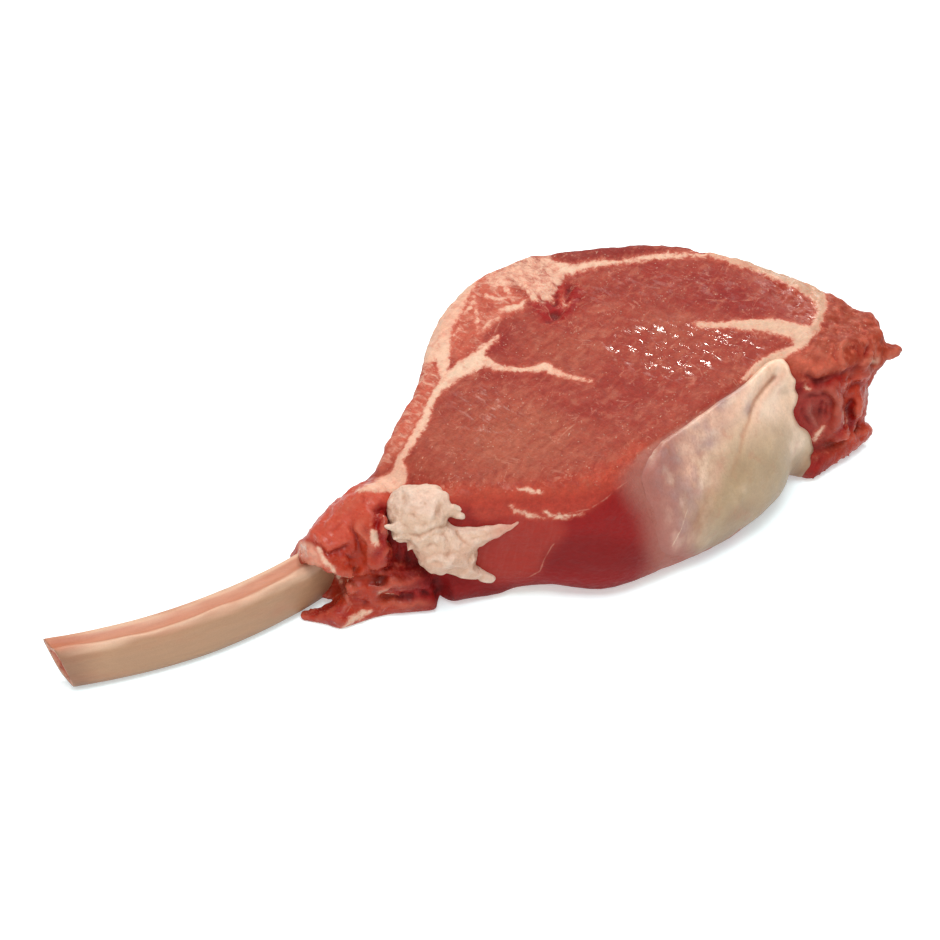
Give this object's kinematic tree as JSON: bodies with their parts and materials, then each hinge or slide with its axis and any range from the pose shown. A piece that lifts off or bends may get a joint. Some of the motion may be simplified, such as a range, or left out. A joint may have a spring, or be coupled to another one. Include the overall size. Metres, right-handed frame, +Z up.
{
  "type": "raw veal rib roast",
  "caption": "Thick slab of raw veal lying on its cut face, with a scraped curved rib bone, a ragged lump of fat and a sheet of fat on its side.",
  "frame": {"origin": "middle of the bounding box, on the plane of the lower cut face", "axes": "+X from the sawn tip of the bone to the far end of the meat, -Y the front side with the fat pieces, +Z up, square to the cut faces"},
  "size_m": [0.286, 0.1222, 0.043],
  "materials": {
    "raw_meat": "moist raw veal, rose red with fine grain, pale fat seams and small wet glints",
    "bone": "scraped rib bone, cream to pinkish tan, satin, with a porous sawn end",
    "soft_fat": "soft crumbly fat, creamy pink, satin",
    "sheet_fat": "firm sheet fat under a thin membrane, cream, satin with soft folds"
  },
  "bodies": {
    "root": {"meat": "raw_meat", "rib_bone": "bone", "fat_lump": "soft_fat", "fat_sheet": "sheet_fat"}
  },
  "joints": []
}
